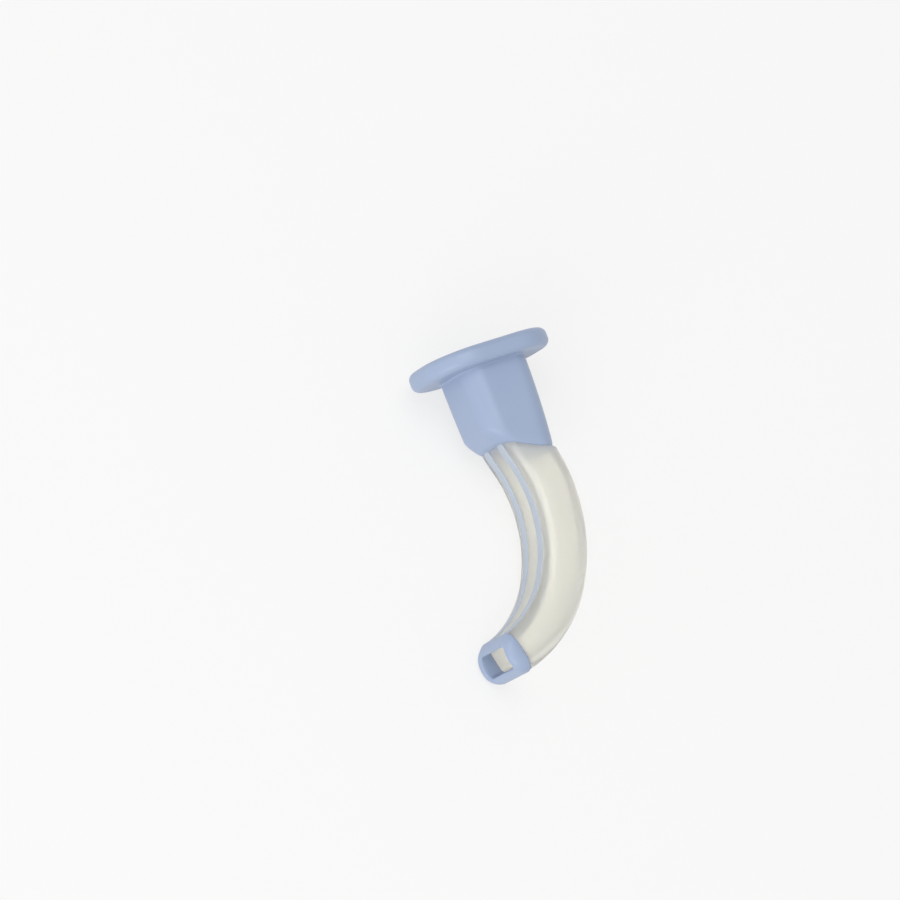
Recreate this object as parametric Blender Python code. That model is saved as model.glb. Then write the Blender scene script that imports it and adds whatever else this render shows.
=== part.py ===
"""Oropharyngeal airway of 50 mm nominal length, lying on its side as it comes to rest.

A stiff blue moulding (flange, bite block, two rails and a tip ring) carries a soft clear tube,
which is bonded between the end of the bite block and the tip ring. It is modelled in its own
plane first: +X towards the outside of the bend, -Y towards the patient, +Z across the airway.
It is then laid on the face of its convex hull that its centre of mass stands over.
"""
import math

import bmesh
import bpy
import numpy as np
from mathutils import Matrix, Vector

# Driving dimensions in metres, angles in degrees
# Depth is measured in the plane of the bend, width across it
# Inner is the side towards the inside of the bend, outer the side away from it

FLANGE_DEPTH = 0.0236
FLANGE_WIDTH = 0.0184
FLANGE_THICKNESS = 0.0032
FLANGE_CORNER = 0.0080
FLANGE_EDGE = 0.0012

BITE_LENGTH = 0.01455
BITE_DEPTH = 0.0126
BITE_WIDTH = 0.0124
BITE_CORNER = 0.0034
BITE_FILLET = 0.0004
BITE_INNER_DRAW = 0.0003
BITE_OUTER_DRAW = 0.0010
BITE_SIDE_DRAW = 0.0001
BITE_END_SLOPE = 23.0

SHOULDER_LENGTH = 0.0024
SHOULDER_INNER_STEP = 0.0017
SHOULDER_OUTER_STEP = 0.0003
SHOULDER_SIDE_STEP = 0.00045
SHOULDER_POWER = 1.5
SHOULDER_EDGE_POWER = 4.0

TUBE_DEPTH = 0.0076
TUBE_WIDTH = 0.0110
TUBE_CORNER = 0.0016
TUBE_WALL = 0.0012
TIP_WALL = 0.0015
BORE_CORNER = 0.0008
TIP_DEPTH = 0.0068
TUBE_SWELL = 0.0004
TIP_WIDTH = 0.0118

STRAIGHT_LENGTH = 0.0122
LEAD_RADIUS = 0.0183
LEAD_TURN = 18.0
UPPER_BEND_RADIUS = 0.0264
UPPER_BEND_TURN = 50.0
LOWER_BEND_RADIUS = 0.0208
LOWER_BEND_TURN = 51.6

MOUTH_DEPTH = 0.0074
MOUTH_LIP = 0.0005

RAIL_WIDTH = 0.0018
RAIL_HEIGHT = 0.0007
RAIL_CORNER = 0.0002
RAIL_PROUD = 0.00015
RAIL_MARGIN = 0.00015

RING_LENGTH = 0.0028
RING_PROUD = 0.0002
RING_CORNER = 0.0022
RING_LEAD_IN = 0.0006
RING_NOSE = 0.0010
RING_NOSE_LENGTH = 0.0017
TIP_DOME = 0.0013

# Clearance between the two mouldings wherever they face each other
BOND_GAP = 0.0003

# Fineness of the mesh, and the angle above which an edge is shaded sharp
CORNER_STEPS = 6
EDGE_STEPS = 4
STATION_SPACING = 0.0018
SHARP_ANGLE = 35.0

# Linear colours
BLUE = (0.36, 0.45, 0.62, 1.0)
CLEAR = (0.95, 0.93, 0.87, 1.0)


def clear_scene():
    for item in list(bpy.data.objects):
        bpy.data.objects.remove(item, do_unlink=True)


def make_material(name, colour, roughness, transmission):
    material = bpy.data.materials.new(name)
    material.use_nodes = True
    shader = material.node_tree.nodes["Principled BSDF"]
    shader.inputs["Base Color"].default_value = colour
    shader.inputs["Roughness"].default_value = roughness
    shader.inputs["Metallic"].default_value = 0.0
    shader.inputs["Transmission Weight"].default_value = transmission
    return material


def centreline_parts():
    """Length and signed turn of each stretch: straight, outward lead, upper and lower bend."""
    lead = math.radians(LEAD_TURN)
    upper = math.radians(UPPER_BEND_TURN)
    lower = math.radians(LOWER_BEND_TURN)
    return (
        (STRAIGHT_LENGTH, 0.0),
        (LEAD_RADIUS * lead, lead),
        (UPPER_BEND_RADIUS * upper, -upper),
        (LOWER_BEND_RADIUS * lower, -lower),
    )


def centreline_length():
    return sum(length for length, turn in centreline_parts())


def centreline(distance):
    """Point and heading of the centreline at a distance from the outer face of the flange.

    The heading is the angle from -Y towards +X. The chord of an arc has the mean of its two
    end headings, and is the arc's length times sin(h) / h, where h is half the turn.
    The first and last stretches also run on beyond the two ends.
    """
    x, y, heading = 0.0, 0.0, 0.0
    parts = centreline_parts()
    left = distance
    for number, (length, turn) in enumerate(parts):
        step = left if number == len(parts) - 1 else min(left, length)
        step_turn = turn * step / length
        chord = step * float(np.sinc(step_turn / 2.0 / math.pi))
        x += chord * math.sin(heading + step_turn / 2.0)
        y -= chord * math.cos(heading + step_turn / 2.0)
        heading += step_turn
        left -= step
        if left <= 0.0:
            break
    return np.array([x, y]), heading


def stations(start, end):
    count = max(2, math.ceil((end - start) / STATION_SPACING) + 1)
    return np.linspace(start, end, count)


def quarter_round(radius):
    """Distance along the edge of a corner round, and how far the round stands back there."""
    angle = np.linspace(0.0, math.pi / 2.0, EDGE_STEPS + 1)
    return radius * (1.0 - np.cos(angle)), radius * (1.0 - np.sin(angle))


def rounded_outline(depth, width, corner, steps=CORNER_STEPS):
    """Rounded rectangle: four quarter circles, from the outer +Z one round to the outer -Z one."""
    sweep = np.linspace(0.0, math.pi / 2.0, steps + 1)
    reach = np.array([depth / 2.0 - corner, width / 2.0 - corner])
    quarters = []
    for quarter, signs in enumerate(((1, 1), (-1, 1), (-1, -1), (1, -1))):
        angle = sweep + quarter * math.pi / 2.0
        arc = np.stack([np.cos(angle), np.sin(angle)], axis=1)
        quarters.append(np.array(signs) * reach + corner * arc)
    return np.concatenate(quarters)


def rail_place(width):
    """Distance of a rail from the middle plane: its groove ends just short of the corner round."""
    return width / 2.0 - TUBE_CORNER - RAIL_MARGIN - BOND_GAP - RAIL_WIDTH / 2.0


def grooved_outline(depth, width, corner):
    """Rounded rectangle with an open groove for each rail in its inner side."""
    outline = rounded_outline(depth, width, corner)
    inner_side_start = 2 * (CORNER_STEPS + 1)
    half_groove = RAIL_WIDTH / 2.0 + BOND_GAP
    surface = -depth / 2.0
    floor = surface - RAIL_PROUD + RAIL_HEIGHT + BOND_GAP
    grooves = []
    for place in (rail_place(width), -rail_place(width)):
        grooves.append((surface, place + half_groove))
        grooves.append((floor, place + half_groove))
        grooves.append((floor, place - half_groove))
        grooves.append((surface, place - half_groove))
    return np.concatenate([outline[:inner_side_start], grooves, outline[inner_side_start:]])


def tip_dome(distance, across):
    """How far a point of the tip ring stands back, which rounds the end over the tube's depth."""
    share = max(0.0, (distance - centreline_length() + RING_LENGTH) / RING_LENGTH)
    return TIP_DOME * share * (2.0 * across / TIP_DEPTH) ** 2


def square_ring(distance, outline):
    """Outline square to the centreline, with its first axis towards the outer side."""
    point, heading = centreline(distance)
    normal = np.array([math.cos(heading), math.sin(heading)])
    along = np.array([math.sin(heading), -math.cos(heading)])
    across = outline[:, :1]
    place = point + across * normal - tip_dome(distance, across) * along
    return np.column_stack([place, outline[:, 1]])


def make_object(name, rings, material=None):
    """Closed skin through rings of equal point count, with a flat cap on each end."""
    rings = np.asarray(rings)
    count, around = rings.shape[:2]
    index = np.arange(count * around).reshape(count, around)
    beside = np.roll(index, -1, axis=1)
    walls = np.stack([index[:-1], beside[:-1], beside[1:], index[1:]], axis=-1)
    faces = walls.reshape(-1, 4).tolist() + [index[0].tolist(), index[-1].tolist()]
    skin = bmesh.new()
    mesh = bpy.data.meshes.new(name)
    mesh.from_pydata(rings.reshape(-1, 3).tolist(), [], faces)
    skin.from_mesh(mesh)
    bmesh.ops.recalc_face_normals(skin, faces=skin.faces)
    skin.to_mesh(mesh)
    skin.free()
    if material is not None:
        mesh.materials.append(material)
    item = bpy.data.objects.new(name, mesh)
    bpy.context.collection.objects.link(item)
    return item


def combine(item, operation, tools):
    """Applies one Boolean after another to the item's own mesh."""
    for tool in tools:
        boolean = item.modifiers.new("combine", "BOOLEAN")
        boolean.object = tool
        boolean.operation = operation
        graph = bpy.context.evaluated_depsgraph_get()
        mesh = bpy.data.meshes.new_from_object(item.evaluated_get(graph))
        item.modifiers.clear()
        item.data = mesh


def tube_section(distance):
    """Depth, width and wall of the tube from the bite block to the tip, deepest in the bend."""
    share = (distance - STRAIGHT_LENGTH) / (centreline_length() - STRAIGHT_LENGTH)
    share = min(1.0, max(0.0, share))
    swell = 4.0 * TUBE_SWELL * share * (1.0 - share)
    depth = TUBE_DEPTH + (TIP_DEPTH - TUBE_DEPTH) * share + swell
    width = TUBE_WIDTH + (TIP_WIDTH - TUBE_WIDTH) * share
    wall = TUBE_WALL + (TIP_WALL - TUBE_WALL) * share
    return depth, width, wall


def make_passage():
    """Cutter for the air passage: the tube's bore, deeper at the flange, with a lip at each end."""
    end = centreline_length()
    along, back = quarter_round(MOUTH_LIP)
    middle = stations(MOUTH_LIP, end - MOUTH_LIP)[1:-1]
    distances = np.concatenate([[-MOUTH_LIP], along, middle, end - along[::-1], [end + MOUTH_LIP]])
    flares = np.concatenate([[MOUTH_LIP], back, 0.0 * middle, back[::-1], [MOUTH_LIP]])
    bore_depth = TUBE_DEPTH - 2.0 * TUBE_WALL
    rings = []
    for distance, flare in zip(distances, flares):
        depth, width, wall = tube_section(distance)
        deeper = (MOUTH_DEPTH - bore_depth) * max(0.0, 1.0 - distance / STRAIGHT_LENGTH)
        change = 2.0 * (flare - wall)
        outline = rounded_outline(depth + deeper + change, width + change, BORE_CORNER + flare)
        rings.append(square_ring(distance, outline))
    return make_object("passage_cutter", rings)


def make_flange(material):
    """Thick plate with a rounded rectangular outline and a round edge on both faces."""
    along, back = quarter_round(FLANGE_EDGE)
    distances = np.concatenate([along, FLANGE_THICKNESS - along[::-1]])
    insets = np.concatenate([back, back[::-1]])
    rings = []
    for distance, inset in zip(distances, insets):
        depth = FLANGE_DEPTH - 2.0 * inset
        width = FLANGE_WIDTH - 2.0 * inset
        rings.append(square_ring(distance, rounded_outline(depth, width, FLANGE_CORNER - inset)))
    return make_object("bite_block_frame", rings, material)


def bite_ring(share, inner_step, outer_step, side_step):
    """Ring of the bite block at a share of its length.

    Each side stands in by its draw times the share squared, and by the step given for it. The
    ring's slope grows with the share, so that the last ring lies in the sloping end face.
    """
    inner = BITE_DEPTH / 2.0 - BITE_INNER_DRAW * share ** 2 - inner_step
    outer = BITE_DEPTH / 2.0 - BITE_OUTER_DRAW * share ** 2 - outer_step
    width = BITE_WIDTH - 2.0 * (BITE_SIDE_DRAW * share ** 2 + side_step)
    outline = rounded_outline(inner + outer, width, BITE_CORNER)
    x = outline[:, 0] + (outer - inner) / 2.0
    slope = math.tan(math.radians(BITE_END_SLOPE)) * share
    y = -(FLANGE_THICKNESS + BITE_LENGTH * share) - slope * x
    return np.column_stack([x, y, outline[:, 1]])


def make_bite_block():
    """Drawn block from inside the flange to its sloping end, with a fillet and a shoulder.

    The shoulder turns in early on the inner side, and only near the end on the other sides.
    """
    along, back = quarter_round(BITE_FILLET)
    shoulder = 1.0 - SHOULDER_LENGTH / BITE_LENGTH
    rings = [bite_ring(-BITE_FILLET / BITE_LENGTH, -BITE_FILLET, -BITE_FILLET, -BITE_FILLET)]
    for distance, fillet in zip(along, back):
        rings.append(bite_ring(distance / BITE_LENGTH, -fillet, -fillet, -fillet))
    for share in stations(BITE_FILLET, BITE_LENGTH - SHOULDER_LENGTH)[1:] / BITE_LENGTH:
        rings.append(bite_ring(share, 0.0, 0.0, 0.0))
    for turn in np.linspace(0.0, 1.0, EDGE_STEPS + 1)[1:]:
        share = shoulder + (1.0 - shoulder) * turn
        bend = turn ** SHOULDER_POWER
        edge = turn ** SHOULDER_EDGE_POWER
        steps = (SHOULDER_INNER_STEP * bend, SHOULDER_OUTER_STEP * edge, SHOULDER_SIDE_STEP * edge)
        rings.append(bite_ring(share, *steps))
    return make_object("bite_block_tool", rings)


def make_rail(side):
    """Slim bar along the tube's inner side, from inside the bite block into the tip ring."""
    start = STRAIGHT_LENGTH
    end = centreline_length() - RING_LENGTH / 2.0
    section = rounded_outline(RAIL_HEIGHT, RAIL_WIDTH, RAIL_CORNER, 1)
    rings = []
    for distance in stations(start, end):
        depth, width, wall = tube_section(distance)
        across = -depth / 2.0 - RAIL_PROUD + RAIL_HEIGHT / 2.0
        rings.append(square_ring(distance, section + (across, side * rail_place(width))))
    return make_object("rail_tool", rings)


def make_tip_ring():
    """Bead round the tube's end: it swells from the tube's size and ends in a rounded nose.

    The last ring lies within the passage, which leaves the land between nose and mouth.
    """
    end = centreline_length()
    start = end - RING_LENGTH
    along, back = quarter_round(1.0)
    nose = RING_NOSE_LENGTH * along[::-1]
    body = stations(start + RING_LEAD_IN, end - RING_NOSE_LENGTH)
    distances = np.concatenate([[start], body[:-1], end - nose, [end]])
    stand_back = RING_NOSE * back[::-1]
    insets = np.concatenate([[RING_PROUD], 0.0 * body[:-1], stand_back, [RING_PROUD + TIP_WALL]])
    rings = []
    for distance, inset in zip(distances, insets):
        depth, width, wall = tube_section(distance)
        grow = 2.0 * (RING_PROUD - inset)
        outline = rounded_outline(depth + grow, width + grow, RING_CORNER - inset)
        rings.append(square_ring(distance, outline))
    return make_object("tip_ring_tool", rings)


def make_end_cutter():
    """Block that fills everything on the flange's side of the bite block's end, gap included."""
    size = 2.0 * (FLANGE_DEPTH + FLANGE_WIDTH)
    slope = math.radians(BITE_END_SLOPE)
    mesh = bpy.data.meshes.new("end_cutter")
    block = bmesh.new()
    bmesh.ops.create_cube(block, size=size)
    face = Matrix.Translation((0.0, -(FLANGE_THICKNESS + BITE_LENGTH), 0.0))
    lift = Matrix.Translation((0.0, size / 2.0 - BOND_GAP, 0.0))
    block.transform(face @ Matrix.Rotation(-slope, 4, "Z") @ lift)
    block.to_mesh(mesh)
    block.free()
    cutter = bpy.data.objects.new("end_cutter", mesh)
    bpy.context.collection.objects.link(cutter)
    return cutter


def make_tube(material):
    """Clear tube with a groove for each rail, from the straight part to just above the ring."""
    end = centreline_length() - RING_LENGTH - BOND_GAP
    rings = []
    for distance in stations(STRAIGHT_LENGTH, end):
        depth, width, wall = tube_section(distance)
        rings.append(square_ring(distance, grooved_outline(depth, width, TUBE_CORNER)))
    return make_object("airway_tube", rings, material)


def mesh_points(item):
    return np.array([corner.co for corner in item.data.vertices])


def centre_of_mass(items):
    """Mean of the tetrahedra from the origin to each triangle, weighted by signed volume."""
    moment = np.zeros(3)
    volume = 0.0
    for item in items:
        item.data.calc_loop_triangles()
        corners = mesh_points(item)[[tuple(part.vertices) for part in item.data.loop_triangles]]
        volumes = np.einsum("ij,ij->i", corners[:, 0], np.cross(corners[:, 1], corners[:, 2]))
        moment += (volumes[:, None] * corners.sum(axis=1) / 4.0).sum(axis=0)
        volume += volumes.sum()
    return moment / volume


def resting_direction(items):
    """Outward normal of the lower hull face that the centre of mass stands over."""
    centre = Vector(centre_of_mass(items))
    hull = bmesh.new()
    for item in items:
        for point in mesh_points(item):
            hull.verts.new(point)
    bmesh.ops.convex_hull(hull, input=hull.verts)
    found = []
    for face in hull.faces:
        corners = [corner.co for corner in face.verts]
        normal = (corners[1] - corners[0]).cross(corners[2] - corners[0]).normalized()
        if normal.dot(corners[0] - centre) < 0.0:
            normal.negate()
        foot = centre + normal * normal.dot(corners[0] - centre)
        sides = []
        for start, end in zip(corners, corners[1:] + corners[:1]):
            sides.append((end - start).cross(foot - start).dot(normal))
        inside = min(sides) >= 0.0 or max(sides) <= 0.0
        if inside and normal.z < 0.0:
            found.append(normal)
    hull.free()
    return min(found, key=lambda normal: normal.z)


def lay_down(items):
    """Parents the pieces to an empty that turns them onto their resting face, centred on XY."""
    rest = bpy.data.objects.new("resting_pose", None)
    bpy.context.collection.objects.link(rest)
    turn = resting_direction(items).rotation_difference(Vector((0.0, 0.0, -1.0))).to_matrix()
    points = np.concatenate([mesh_points(item) for item in items]) @ np.array(turn).T
    low = points.min(axis=0)
    high = points.max(axis=0)
    middle = (low + high) / 2.0
    rest.location = (-middle[0], -middle[1], -low[2])
    rest.rotation_euler = turn.to_euler()
    for item in items:
        item.parent = rest
    bpy.context.view_layer.update()


def shade(item):
    item.data.shade_smooth()
    item.data.set_sharp_from_angle(angle=math.radians(SHARP_ANGLE))


def build():
    clear_scene()
    blue = make_material("blue_plastic", BLUE, 0.35, 0.0)
    clear = make_material("clear_elastomer", CLEAR, 0.3, 0.66)
    passage = make_passage()
    end_cutter = make_end_cutter()
    frame = make_flange(blue)
    parts = [make_bite_block(), make_rail(1), make_rail(-1), make_tip_ring()]
    combine(frame, "UNION", parts)
    combine(frame, "DIFFERENCE", [passage])
    tube = make_tube(clear)
    combine(tube, "DIFFERENCE", [end_cutter, passage])
    for tool in parts + [passage, end_cutter]:
        bpy.data.objects.remove(tool, do_unlink=True)
    for item in (frame, tube):
        shade(item)
    lay_down([frame, tube])


build()
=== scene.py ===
"""Oropharyngeal airway lying on its side on a pale floor.

A stiff blue moulding (flange, bite block, two rails and a tip ring) carries a clear soft tube.
Every shape is worked out in the airway's own plane, in metres: +X towards the outside of the
bend, -Y towards the patient, +Z across the airway. It is then turned as it lies at rest.
"""
import math

import bpy
import numpy as np
from mathutils import Matrix, Vector


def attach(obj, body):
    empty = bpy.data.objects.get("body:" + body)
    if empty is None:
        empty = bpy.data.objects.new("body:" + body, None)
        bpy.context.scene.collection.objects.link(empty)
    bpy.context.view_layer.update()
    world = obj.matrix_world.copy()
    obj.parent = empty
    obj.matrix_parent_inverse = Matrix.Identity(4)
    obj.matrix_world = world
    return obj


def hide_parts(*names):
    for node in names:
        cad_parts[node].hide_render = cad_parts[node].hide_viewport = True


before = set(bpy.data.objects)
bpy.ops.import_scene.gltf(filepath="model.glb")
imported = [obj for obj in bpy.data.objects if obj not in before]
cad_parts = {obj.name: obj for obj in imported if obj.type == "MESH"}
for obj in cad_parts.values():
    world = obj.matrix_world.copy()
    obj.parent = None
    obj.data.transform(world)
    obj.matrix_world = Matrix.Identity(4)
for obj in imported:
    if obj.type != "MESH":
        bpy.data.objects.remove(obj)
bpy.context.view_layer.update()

# Sizes of the airway, in metres and degrees, the same as in the part's own source
FLANGE_DEPTH = 0.0236
FLANGE_WIDTH = 0.0184
FLANGE_THICKNESS = 0.0032
FLANGE_CORNER = 0.0080
FLANGE_EDGE = 0.0012
BITE_LENGTH = 0.01455
BITE_DEPTH = 0.0126
BITE_WIDTH = 0.0124
BITE_CORNER = 0.0034
BITE_FILLET = 0.0004
BITE_INNER_DRAW = 0.0003
BITE_OUTER_DRAW = 0.0010
BITE_SIDE_DRAW = 0.0001
BITE_END_SLOPE = 23.0
SHOULDER_LENGTH = 0.0024
SHOULDER_INNER_STEP = 0.0017
SHOULDER_OUTER_STEP = 0.0003
SHOULDER_SIDE_STEP = 0.00045
SHOULDER_POWER = 1.5
SHOULDER_EDGE_POWER = 4.0
TUBE_DEPTH = 0.0076
TUBE_WIDTH = 0.0110
TUBE_CORNER = 0.0016
TUBE_WALL = 0.0012
TIP_WALL = 0.0015
BORE_CORNER = 0.0008
TUBE_SWELL = 0.0004
TIP_DEPTH = 0.0068
TIP_WIDTH = 0.0118
STRAIGHT_LENGTH = 0.0122
LEAD_RADIUS = 0.0183
LEAD_TURN = 18.0
UPPER_BEND_RADIUS = 0.0264
UPPER_BEND_TURN = 50.0
LOWER_BEND_RADIUS = 0.0208
LOWER_BEND_TURN = 51.6
MOUTH_DEPTH = 0.0074
MOUTH_LIP = 0.0005
RAIL_WIDTH = 0.0018
RAIL_HEIGHT = 0.0007
RAIL_CORNER = 0.0002
RAIL_PROUD = 0.00015
RAIL_MARGIN = 0.00015
RING_LENGTH = 0.0028
RING_PROUD = 0.0002
RING_CORNER = 0.0022
RING_LEAD_IN = 0.0006
RING_NOSE = 0.0010
RING_NOSE_LENGTH = 0.0017
TIP_DOME = 0.0013
BOND_GAP = 0.0003

# How far the clear tube runs into the blue pieces at each end, and their cover over its bore
TUBE_BEDDING = 0.00025
BORE_COVER = 0.00003

# Turn about X, Y and Z and the place at which the airway comes to rest
RESTING_TURN = (5.065389, 3.708680, 0.164102)
RESTING_PLACE = (0.0028320, 0.0261657, 0.0095669)

# Camera, in the airway's plane: direction to it, roll, and where it aims from the flange's face
VIEW_DIRECTION = (-0.469, -0.099, 0.878)
VIEW_ROLL = 17.68
VIEW_AIM = (-0.00414, 0.01617)
VIEW_DISTANCE = 1.0
VIEW_WIDTH = 0.1472
SENSOR_WIDTH = 36.0
NEAR_CLIP = 0.01

# Light: two soft square lamps in the room's axes, the world, the floor and the backdrop
KEY_PLACE = (-0.10, 0.15, 0.65)
KEY_SIZE = 0.40
KEY_POWER = 1.2
FILL_PLACE = (-0.50, -0.30, 0.30)
FILL_SIZE = 0.50
FILL_POWER = 1.6
LAMP_AIM = (0.0, 0.0, 0.01)
WORLD_COLOUR = (1.0, 1.0, 1.0, 1.0)
WORLD_LIGHT = 0.58
BACKDROP_GLOW = 0.85
FLOOR_COLOUR = (0.85, 0.85, 0.85, 1.0)
FLOOR_GLOW_COLOUR = (1.0, 1.0, 0.995, 1.0)
FLOOR_GLOW = 0.7
FLOOR_REACH = 10.0

# The two colours between which each moulding's clouding varies. The rails are the same blue plastic
# in a paler copy: painted light, standing in for the tube behind these thin rails shining through
# them.
BLUE_DEEP = (0.345, 0.430, 0.610, 1.0)
BLUE_PALE = (0.380, 0.465, 0.640, 1.0)
RAIL_PAINTED_LIGHT_DEEP = (0.485, 0.545, 0.640, 1.0)
RAIL_PAINTED_LIGHT_PALE = (0.520, 0.580, 0.670, 1.0)
CLEAR_DEEP = (0.935, 0.920, 0.855, 1.0)
CLEAR_PALE = (0.960, 0.945, 0.885, 1.0)

# Least roughness of each moulding, and the most that its clouding and grain add
BLUE_ROUGHNESS = 0.34
BLUE_CLOUDING = 0.08
BLUE_GRAIN = 0.04
CLEAR_ROUGHNESS = 0.26
CLEAR_CLOUDING = 0.10

# Fineness of the grids: steps round a section, and rows or steps along each stretch of a surface
CORNER_STEPS = 14
FLAT_STEPS = 10
RAIL_CORNER_STEPS = 6
RAIL_FLAT_STEPS = 4
ROUND_STEPS = 8
FLANGE_FACE_STEPS = 12
FLANGE_BACK_STEPS = 8
BLOCK_SIDE_ROWS = 25
SHOULDER_ROWS = 13
BLOCK_END_STEPS = 5
BLOCK_BORE_ROWS = 40
RING_LEAD_ROWS = 7
RING_BODY_ROWS = 6
RING_BORE_ROWS = 12
RING_END_STEPS = 4
TUBE_ROWS = 160
TUBE_END_STEPS = 3
END_HALVINGS = 30


# Centreline and sections

LEAD_ANGLE = math.radians(LEAD_TURN)
UPPER_BEND_ANGLE = math.radians(UPPER_BEND_TURN)
LOWER_BEND_ANGLE = math.radians(LOWER_BEND_TURN)
END_SLOPE = math.tan(math.radians(BITE_END_SLOPE))

# Length of each stretch of the centreline, and how far it turns, positive towards +X
STRETCHES = (
    (STRAIGHT_LENGTH, 0.0),
    (LEAD_RADIUS * LEAD_ANGLE, LEAD_ANGLE),
    (UPPER_BEND_RADIUS * UPPER_BEND_ANGLE, -UPPER_BEND_ANGLE),
    (LOWER_BEND_RADIUS * LOWER_BEND_ANGLE, -LOWER_BEND_ANGLE),
)
CENTRELINE_LENGTH = sum(length for length, turn in STRETCHES)
RING_START = CENTRELINE_LENGTH - RING_LENGTH


def centreline(distance):
    """x, y and heading at distances along the centreline from the flange's outer face.

    The line is a straight and three arcs. Along an arc the heading changes evenly, and the
    chord is the arc's length times sin(h) / h along its mean heading, where h is half its turn.
    """
    x, y, heading = np.zeros((3,) + np.shape(distance))
    start = 0.0
    for number, (length, turn) in enumerate(STRETCHES):
        lowest = -np.inf if number == 0 else 0.0
        highest = np.inf if number == len(STRETCHES) - 1 else length
        step = np.clip(distance - start, lowest, highest)
        part_turn = turn * step / length
        chord = step * np.sinc(part_turn / 2.0 / np.pi)
        x = x + chord * np.sin(heading + part_turn / 2.0)
        y = y - chord * np.cos(heading + part_turn / 2.0)
        heading = heading + part_turn
        start += length
    return x, y, heading


def column(values):
    """Values down the rows of a grid."""
    return np.reshape(np.asarray(values, float), (-1, 1))


def even_column(first, last, rows):
    """Values spaced evenly down the rows of a grid, both ends included."""
    return column(np.linspace(first, last, rows))


def tube_share(distance):
    """How far along the tube a distance is: 0 at the end of the straight, 1 at the tip."""
    share = (distance - STRAIGHT_LENGTH) / (CENTRELINE_LENGTH - STRAIGHT_LENGTH)
    return np.clip(share, 0.0, 1.0)


def tube_section(distance):
    """Depth and width of the tube: linear along it, plus a parabola in the depth."""
    share = tube_share(distance)
    swell = 4.0 * TUBE_SWELL * share * (1.0 - share)
    depth = TUBE_DEPTH + (TIP_DEPTH - TUBE_DEPTH) * share + swell
    width = TUBE_WIDTH + (TIP_WIDTH - TUBE_WIDTH) * share
    return depth, width


def tube_wall(distance):
    """Wall of the tube: linear along it."""
    return TUBE_WALL + (TIP_WALL - TUBE_WALL) * tube_share(distance)


def loop_directions(corner_steps=CORNER_STEPS, flat_steps=FLAT_STEPS):
    """Corner signs and arc angle of each point once round a rounded rectangle.

    On a corner the signs stay and the angle sweeps a quarter turn. On a flat the angle stays
    and the signs run evenly to those of the next corner.
    """
    signs = np.array([(1, 1), (-1, 1), (-1, -1), (1, -1)], float)
    places, angles = [], []
    for quarter in range(4):
        sweep = np.linspace(0.0, np.pi / 2.0, corner_steps + 1) + quarter * np.pi / 2.0
        share = np.linspace(0.0, 1.0, flat_steps + 1)[1:-1, None]
        after = signs[(quarter + 1) % 4]
        places += [np.repeat(signs[quarter:quarter + 1], corner_steps + 1, axis=0)]
        places += [signs[quarter] + (after - signs[quarter]) * share]
        angles += [sweep, np.full(flat_steps - 1, sweep[-1])]
    return np.concatenate(places), np.concatenate(angles)


def outline(depth, width, corner, loop=loop_directions()):
    """Rounded rectangles down the rows: corner centre plus corner radius times (cos, sin)."""
    places, angles = loop
    across = places[:, 0] * (depth / 2.0 - corner) + corner * np.cos(angles)
    side = places[:, 1] * (width / 2.0 - corner) + corner * np.sin(angles)
    return across, side


def quarter_round(radius):
    """Distance along the edge of a corner round, and how far the round stands back there."""
    angle = np.linspace(0.0, np.pi / 2.0, ROUND_STEPS + 1)
    return radius * (1.0 - np.cos(angle)), radius * (1.0 - np.sin(angle))


def tip_dome(distance, across):
    """How far a point of the tip stands back.

    It goes by the square of its place across, and grows evenly along the ring.
    """
    share = np.maximum(0.0, (distance - RING_START) / RING_LENGTH)
    return TIP_DOME * share * (2.0 * across / TIP_DEPTH) ** 2


def along_centreline(distance, across, side):
    """Grid of points, each square to the centreline at its own distance."""
    x, y, heading = centreline(distance)
    back = tip_dome(distance, across)
    px = x + across * np.cos(heading) - back * np.sin(heading)
    py = y + across * np.sin(heading) + back * np.cos(heading)
    return np.stack(np.broadcast_arrays(px, py, side), axis=-1)


def blend_rows(first, last, steps):
    """Rows evenly between two rows of points, the two themselves left out."""
    share = np.linspace(0.0, 1.0, steps + 1)[1:-1, None, None]
    return first + (last - first) * share


# Meshes

RESTING_MATRIX = (
    Matrix.Translation(RESTING_PLACE)
    @ Matrix.Rotation(math.radians(RESTING_TURN[2]), 4, "Z")
    @ Matrix.Rotation(math.radians(RESTING_TURN[1]), 4, "Y")
    @ Matrix.Rotation(math.radians(RESTING_TURN[0]), 4, "X")
)


def make_piece(name, grid, closed_along, node, material):
    """Smooth mesh over a grid that closes round its rows, and along them too or with flat caps.

    The signed volume is the sum over triangles of a . (b x c) / 6, and where it is negative the
    faces are turned about, so that they point outwards. Only its sign counts here, so the sixth
    is left out.
    """
    rows, around = grid.shape[:2]
    points = grid.reshape(-1, 3)
    index = np.arange(rows * around).reshape(rows, around)
    below = np.roll(index, -1, axis=0) if closed_along else index[1:]
    above = index if closed_along else index[:-1]
    beside_above = np.roll(above, -1, axis=1)
    beside_below = np.roll(below, -1, axis=1)
    quads = np.stack([above, beside_above, beside_below, below], axis=-1).reshape(-1, 4)
    corners = points[quads]
    halves = np.concatenate([corners[:, (0, 1, 2)], corners[:, (0, 2, 3)]])
    volume = np.einsum("ij,ij->", halves[:, 0], np.cross(halves[:, 1], halves[:, 2]))
    faces = quads.tolist()
    if not closed_along:
        faces += [index[0, ::-1].tolist(), index[-1].tolist()]
    if volume < 0.0:
        faces = [face[::-1] for face in faces]
    turn = np.array(RESTING_MATRIX)
    placed = points @ turn[:3, :3].T + turn[:3, 3]
    mesh = bpy.data.meshes.new(name)
    mesh.from_pydata(placed.tolist(), [], faces)
    mesh.shade_smooth()
    mesh.materials.append(material)
    piece = bpy.data.objects.new(name, mesh)
    bpy.context.collection.objects.link(piece)
    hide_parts(node)
    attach(piece, "root")
    return piece


# Shapes of the two mouldings

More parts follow.
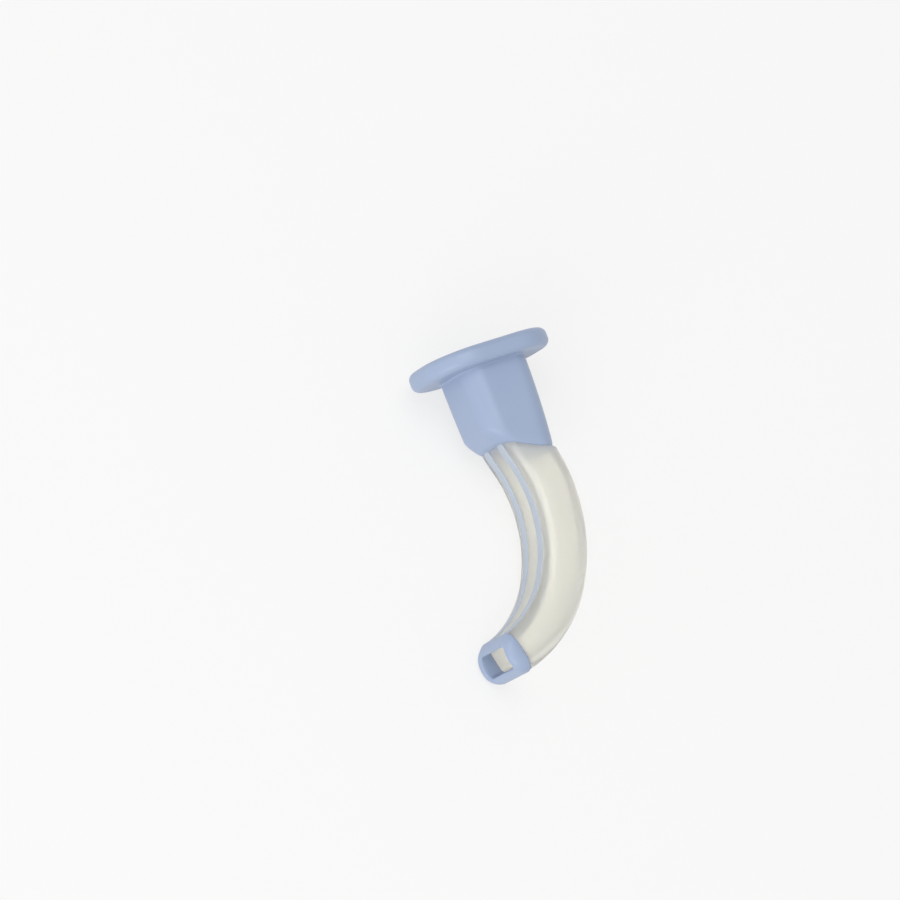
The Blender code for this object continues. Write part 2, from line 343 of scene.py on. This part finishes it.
def drawn_rows(inner, outer, width, corner, height, slope):
    """Outlines of the flange and bite block: x from -inner to outer, y falling by slope times x."""
    across, side = outline(inner + outer, width, corner)
    x = across + (outer - inner) / 2.0
    return np.stack(np.broadcast_arrays(x, height - slope * x, side), axis=-1)


def bite_rows(share, fillet=0.0, turn=0.0):
    """Bite block at shares of its length: its sides draw in by the share squared.

    Over the shoulder, where turn runs from 0 to 1, the inner side steps in by a low power of the
    turn, and so early, and the other sides by a high one, and so only near the end.
    """
    square = share ** 2
    bend = turn ** SHOULDER_POWER
    edge = turn ** SHOULDER_EDGE_POWER
    inner = BITE_DEPTH / 2.0 - BITE_INNER_DRAW * square - SHOULDER_INNER_STEP * bend + fillet
    outer = BITE_DEPTH / 2.0 - BITE_OUTER_DRAW * square - SHOULDER_OUTER_STEP * edge + fillet
    half = BITE_WIDTH / 2.0 - BITE_SIDE_DRAW * square - SHOULDER_SIDE_STEP * edge + fillet
    height = -(FLANGE_THICKNESS + BITE_LENGTH * share)
    return drawn_rows(inner, outer, 2.0 * half, BITE_CORNER, height, END_SLOPE * share)


def tube_rows(distance):
    """Outside of the clear tube."""
    depth, width = tube_section(distance)
    return along_centreline(distance, *outline(depth, width, TUBE_CORNER))


def bore_rows(distance, flare=0.0):
    """Air passage: the tube's bore, evenly deeper up to the flange, and flared at a lip."""
    depth, width = tube_section(distance)
    upward = np.maximum(0.0, 1.0 - distance / STRAIGHT_LENGTH)
    deeper = (MOUTH_DEPTH - TUBE_DEPTH + 2.0 * TUBE_WALL) * upward
    change = 2.0 * (flare - tube_wall(distance))
    section = outline(depth + deeper + change, width + change, BORE_CORNER + flare)
    return along_centreline(distance, *section)


def block_end_distances(rows, bedding=0.0):
    """Distance at which each line along a surface meets the bite block's end plane.

    The plane is y + slope * x = -(flange + block), moved into the block by the bedding. The
    height above it falls all the way along a line, so that halving finds where it is nothing.
    """
    low = np.full(len(loop_directions()[1]), STRAIGHT_LENGTH)
    high = low + BITE_LENGTH
    for _ in range(END_HALVINGS):
        middle = (low + high) / 2.0
        points = rows(middle[None])[0]
        height = points[:, 1] + END_SLOPE * points[:, 0] + FLANGE_THICKNESS + BITE_LENGTH
        low = np.where(height > bedding, middle, low)
        high = np.where(height > bedding, high, middle)
    return low


def flange_and_block_grid():
    """Closed surface: out of the mouth, round the flange, down the block and back up the bore."""
    lip_along, lip_back = quarter_round(MOUTH_LIP)
    edge_along, edge_back = quarter_round(FLANGE_EDGE)
    fillet_along, fillet_back = quarter_round(BITE_FILLET)

    mouth = bore_rows(column(lip_along[::-1]), column(lip_back[::-1]))
    inset = column(np.concatenate([edge_back, edge_back[::-1]]))
    height = -column(np.concatenate([edge_along, FLANGE_THICKNESS - edge_along[::-1]]))
    half = FLANGE_DEPTH / 2.0 - inset
    edge = drawn_rows(half, half, FLANGE_WIDTH - 2.0 * inset, FLANGE_CORNER - inset, height, 0.0)
    fillet = bite_rows(column(fillet_along) / BITE_LENGTH, column(fillet_back))
    shoulder = 1.0 - SHOULDER_LENGTH / BITE_LENGTH
    side = bite_rows(even_column(BITE_FILLET / BITE_LENGTH, shoulder, BLOCK_SIDE_ROWS)[1:-1])
    turn = even_column(0.0, 1.0, SHOULDER_ROWS)
    end = bite_rows(shoulder + (1.0 - shoulder) * turn, 0.0, turn)
    bore_start = block_end_distances(lambda distance: bore_rows(distance, -BORE_COVER))
    share = even_column(0.0, 1.0, BLOCK_BORE_ROWS)[:-1]
    bore = bore_rows(bore_start + (MOUTH_LIP - bore_start) * share, -BORE_COVER)
    return np.concatenate([
        mouth,
        blend_rows(mouth[-1], edge[0], FLANGE_FACE_STEPS),
        edge,
        blend_rows(edge[-1], fillet[0], FLANGE_BACK_STEPS),
        fillet,
        side,
        end,
        blend_rows(end[-1], bore[0], BLOCK_END_STEPS),
        bore,
    ])


def tip_ring_grid():
    """Closed surface: down over the proud bead, round its nose, in at the tip and up the bore.

    The bead rises over its lead-in by half a cosine wave. The nose is a quarter of an ellipse,
    RING_NOSE_LENGTH long and RING_NOSE deep.
    """
    nose_along, nose_back = quarter_round(1.0)
    lip_along, lip_back = quarter_round(MOUTH_LIP)
    nose_start = CENTRELINE_LENGTH - RING_NOSE_LENGTH
    lead = np.linspace(0.0, 1.0, RING_LEAD_ROWS)
    body = np.linspace(RING_START + RING_LEAD_IN, nose_start, RING_BODY_ROWS)[1:-1]
    nose = CENTRELINE_LENGTH - RING_NOSE_LENGTH * nose_along[::-1]
    distance = column(np.concatenate([RING_START + RING_LEAD_IN * lead, body, nose]))
    swell = RING_PROUD * (0.5 - 0.5 * np.cos(np.pi * lead))
    stand_back = RING_PROUD - RING_NOSE * nose_back[::-1]
    grow = column(np.concatenate([swell, np.full(len(body), RING_PROUD), stand_back]))
    depth, width = tube_section(distance)
    section = outline(depth + 2.0 * grow, width + 2.0 * grow, RING_CORNER - RING_PROUD + grow)
    outside = along_centreline(distance, *section)
    lip = bore_rows(CENTRELINE_LENGTH - column(lip_along), column(lip_back))
    upward = even_column(CENTRELINE_LENGTH - MOUTH_LIP, RING_START, RING_BORE_ROWS)[1:]
    inside = bore_rows(upward, -BORE_COVER)
    return np.concatenate([
        outside,
        blend_rows(outside[-1], lip[0], RING_END_STEPS),
        lip,
        inside,
        blend_rows(inside[-1], outside[0], RING_END_STEPS),
    ])


def rail_grid(side):
    """Slim rounded bar along the tube's inner side, from inside the block into the ring."""
    distance = even_column(STRAIGHT_LENGTH, CENTRELINE_LENGTH - RING_LENGTH / 2.0, TUBE_ROWS)
    depth, width = tube_section(distance)
    place = width / 2.0 - TUBE_CORNER - RAIL_MARGIN - BOND_GAP - RAIL_WIDTH / 2.0
    loop = loop_directions(RAIL_CORNER_STEPS, RAIL_FLAT_STEPS)
    across, beside = outline(RAIL_HEIGHT, RAIL_WIDTH, RAIL_CORNER, loop)
    centre = -depth / 2.0 - RAIL_PROUD + RAIL_HEIGHT / 2.0
    return along_centreline(distance, across + centre, beside + side * place)


def tube_grid():
    """Closed surface: down the outside of the clear tube and back up its bore."""
    share = even_column(0.0, 1.0, TUBE_ROWS)
    end = RING_START + TUBE_BEDDING
    outer_start = block_end_distances(tube_rows, TUBE_BEDDING)
    inner_start = block_end_distances(bore_rows, TUBE_BEDDING)
    outside = tube_rows(outer_start + (end - outer_start) * share)
    inside = bore_rows(end + (inner_start - end) * share)
    return np.concatenate([
        outside,
        blend_rows(outside[-1], inside[0], TUBE_END_STEPS),
        inside,
        blend_rows(inside[-1], outside[0], TUBE_END_STEPS),
    ])


# Materials

class Value:
    """A node's output. Arithmetic on it adds Math nodes, and node adds any other kind."""

    def __init__(self, tree, socket=None):
        self.tree = tree
        self.socket = socket

    def node(self, kind, settings, sockets, output=0):
        """Adds a node: first its settings, then the value or link of each named socket."""
        node = self.tree.nodes.new(kind)
        for name, setting in settings.items():
            setattr(node, name, setting)
        for name, value in sockets.items():
            if isinstance(value, Value):
                self.tree.links.new(value.socket, node.inputs[name])
            else:
                node.inputs[name].default_value = value
        return Value(self.tree, node.outputs[output])

    def maths(self, operation, first, second):
        return self.node("ShaderNodeMath", {"operation": operation}, {0: first, 1: second})

    def __add__(self, other):
        return self.maths("ADD", self, other)

    def __mul__(self, other):
        return self.maths("MULTIPLY", self, other)

    __radd__ = __add__
    __rmul__ = __mul__


def new_material(name, settings):
    """A Principled material with its constant values set on its sockets."""
    material = bpy.data.materials.new(name)
    material.use_nodes = True
    shader = material.node_tree.nodes["Principled BSDF"]
    for socket, value in settings.items():
        shader.inputs[socket].default_value = value
    return material, shader, Value(material.node_tree)


def link(graph, node, socket, value):
    graph.tree.links.new(value.socket, node.inputs[socket])


def noise(graph, scale, detail):
    """Noise over the airway, with the scale in cells per metre."""
    place = graph.node("ShaderNodeTexCoord", {}, {}, "Object")
    sockets = {"Vector": place, "Scale": scale, "Detail": detail}
    return graph.node("ShaderNodeTexNoise", {}, sockets)


def mix_colours(graph, share, first, second):
    """Colour between two, by a share that varies over the surface.

    On a Mix node, socket 0 is the share, 6 and 7 are the colours, and output 2 is their mix.
    """
    return graph.node("ShaderNodeMix", {"data_type": "RGBA"}, {0: share, 6: first, 7: second}, 2)


def uneven_surface(graph, height, strength, distance):
    """Normal of a surface that a height makes uneven, by up to a distance in metres."""
    sockets = {"Height": height, "Strength": strength, "Distance": distance}
    return graph.node("ShaderNodeBump", {}, sockets)


def make_blue_plastic(name, deep, pale):
    """Satin injection-moulded plastic: faint clouding, and a fine spark-eroded texture."""
    material, shader, graph = new_material(name, {"IOR": 1.49})
    cloud = noise(graph, scale=160.0, detail=3.0)
    grain = noise(graph, scale=9000.0, detail=2.0)
    link(graph, shader, "Base Color", mix_colours(graph, cloud, deep, pale))
    roughness = BLUE_ROUGHNESS + cloud * BLUE_CLOUDING + grain * BLUE_GRAIN
    link(graph, shader, "Roughness", roughness)
    bump = uneven_surface(graph, grain, strength=0.08, distance=0.00002)
    link(graph, shader, "Normal", bump)
    return material


def make_clear_elastomer():
    """Clear soft elastomer: lets light through, a little milky, with a faintly uneven surface."""
    material, shader, graph = new_material("clear_elastomer", {
        "IOR": 1.36,
        "Transmission Weight": 0.66,
        "Subsurface Weight": 1.0,
        "Subsurface Radius": (1.0, 1.0, 0.9),
        "Subsurface Scale": 0.0015,
    })
    cloud = noise(graph, scale=220.0, detail=3.0)
    ripple = noise(graph, scale=700.0, detail=1.0)
    link(graph, shader, "Base Color", mix_colours(graph, cloud, CLEAR_DEEP, CLEAR_PALE))
    link(graph, shader, "Roughness", CLEAR_ROUGHNESS + cloud * CLEAR_CLOUDING)
    bump = uneven_surface(graph, ripple, strength=0.12, distance=0.0001)
    link(graph, shader, "Normal", bump)
    return material


def make_floor_material():
    """Pale floor: a matt surface for the shadow, mixed with an even glow.

    It glows for rays from the camera, by mirror and through the clear tube alike, and not for
    the rays that light the airway.
    """
    material, shader, graph = new_material("floor_white", {
        "Base Color": FLOOR_COLOUR,
        "Roughness": 0.9,
        "Specular IOR Level": 0.0,
    })
    camera_ray = graph.node("ShaderNodeLightPath", {}, {}, "Is Camera Ray")
    glossy_ray = graph.node("ShaderNodeLightPath", {}, {}, "Is Glossy Ray")
    through_ray = graph.node("ShaderNodeLightPath", {}, {}, "Is Transmission Ray")
    seen = graph.maths("MAXIMUM", camera_ray, graph.maths("MAXIMUM", glossy_ray, through_ray))
    glow = graph.node("ShaderNodeEmission", {}, {"Color": FLOOR_GLOW_COLOUR, "Strength": 1.0})
    matt = Value(graph.tree, shader.outputs[0])
    mixed = graph.node("ShaderNodeMixShader", {}, {0: seen * FLOOR_GLOW, 1: matt, 2: glow})
    link(graph, graph.tree.nodes["Material Output"], "Surface", mixed)
    return material


# Pieces

blue_plastic = make_blue_plastic("blue_plastic", BLUE_DEEP, BLUE_PALE)
# Paler copy of the blue for the rails: painted light, for the tube's light shining through them
rail_plastic_painted_light = make_blue_plastic("rail_blue_plastic_painted_light", RAIL_PAINTED_LIGHT_DEEP, RAIL_PAINTED_LIGHT_PALE)
clear_elastomer = make_clear_elastomer()

make_piece(
    "flange_and_bite_block", flange_and_block_grid(), True,
    "bite_block_frame", blue_plastic,
)
make_piece("tip_ring", tip_ring_grid(), True, "bite_block_frame", blue_plastic)
make_piece("rail_upper", rail_grid(1.0), False, "bite_block_frame", rail_plastic_painted_light)
make_piece("rail_lower", rail_grid(-1.0), False, "bite_block_frame", rail_plastic_painted_light)
clear_tube = make_piece(
    "clear_tube", tube_grid(), True,
    "airway_tube", clear_elastomer,
)
# Light passes through the clear tube, so it casts no shadow of its own
clear_tube.visible_shadow = False


# Floor, light and camera

def make_floor():
    """Level square floor with the airway at its middle."""
    corners = [(-FLOOR_REACH, -FLOOR_REACH, 0.0), (FLOOR_REACH, -FLOOR_REACH, 0.0)]
    corners += [(FLOOR_REACH, FLOOR_REACH, 0.0), (-FLOOR_REACH, FLOOR_REACH, 0.0)]
    mesh = bpy.data.meshes.new("floor")
    mesh.from_pydata(corners, [], [(0, 1, 2, 3)])
    mesh.materials.append(make_floor_material())
    floor = bpy.data.objects.new("floor", mesh)
    bpy.context.collection.objects.link(floor)


def make_softbox(name, place, size, power):
    """Square area lamp that faces the middle of the airway."""
    lamp = bpy.data.lights.new(name, "AREA")
    lamp.shape = "SQUARE"
    lamp.size = size
    lamp.energy = power
    holder = bpy.data.objects.new(name, lamp)
    holder.location = place
    facing = Vector(LAMP_AIM) - holder.location
    holder.rotation_euler = facing.to_track_quat("-Z", "Y").to_euler()
    bpy.context.collection.objects.link(holder)


def make_world():
    """Even white light, and a brighter backdrop where the camera looks past the floor's end."""
    world = bpy.data.worlds.new("studio")
    world.use_nodes = True
    graph = Value(world.node_tree)
    background = world.node_tree.nodes["Background"]
    background.inputs["Color"].default_value = WORLD_COLOUR
    camera_ray = graph.node("ShaderNodeLightPath", {}, {}, "Is Camera Ray")
    link(graph, background, "Strength", WORLD_LIGHT + camera_ray * (BACKDROP_GLOW - WORLD_LIGHT))
    bpy.context.scene.world = world


def make_camera():
    """Camera that faces the airway's plane as in the photograph, rolled, with a long lens.

    Before the roll, its right is the airway's +X made square to the view.
    """
    view = np.array(VIEW_DIRECTION) / np.linalg.norm(VIEW_DIRECTION)
    right = np.array([1.0, 0.0, 0.0]) - view[0] * view
    right /= np.linalg.norm(right)
    down = np.cross(right, view)
    roll = math.radians(VIEW_ROLL)
    image_right = math.cos(roll) * right + math.sin(roll) * down
    image_down = -math.sin(roll) * right + math.cos(roll) * down
    aim = VIEW_AIM[0] * image_right + VIEW_AIM[1] * image_down
    turn = Matrix(np.column_stack([image_right, -image_down, view]).tolist()).to_4x4()
    place = Matrix.Translation(aim + VIEW_DISTANCE * view)
    lens = bpy.data.cameras.new("camera")
    lens.sensor_width = SENSOR_WIDTH
    lens.lens = SENSOR_WIDTH * VIEW_DISTANCE / VIEW_WIDTH
    lens.clip_start = NEAR_CLIP
    camera = bpy.data.objects.new("camera", lens)
    camera.matrix_world = RESTING_MATRIX @ place @ turn
    bpy.context.collection.objects.link(camera)
    bpy.context.scene.camera = camera


make_floor()
make_world()
make_softbox("key", KEY_PLACE, KEY_SIZE, KEY_POWER)
make_softbox("fill", FILL_PLACE, FILL_SIZE, FILL_POWER)
make_camera()
bpy.context.scene.view_settings.view_transform = "Standard"
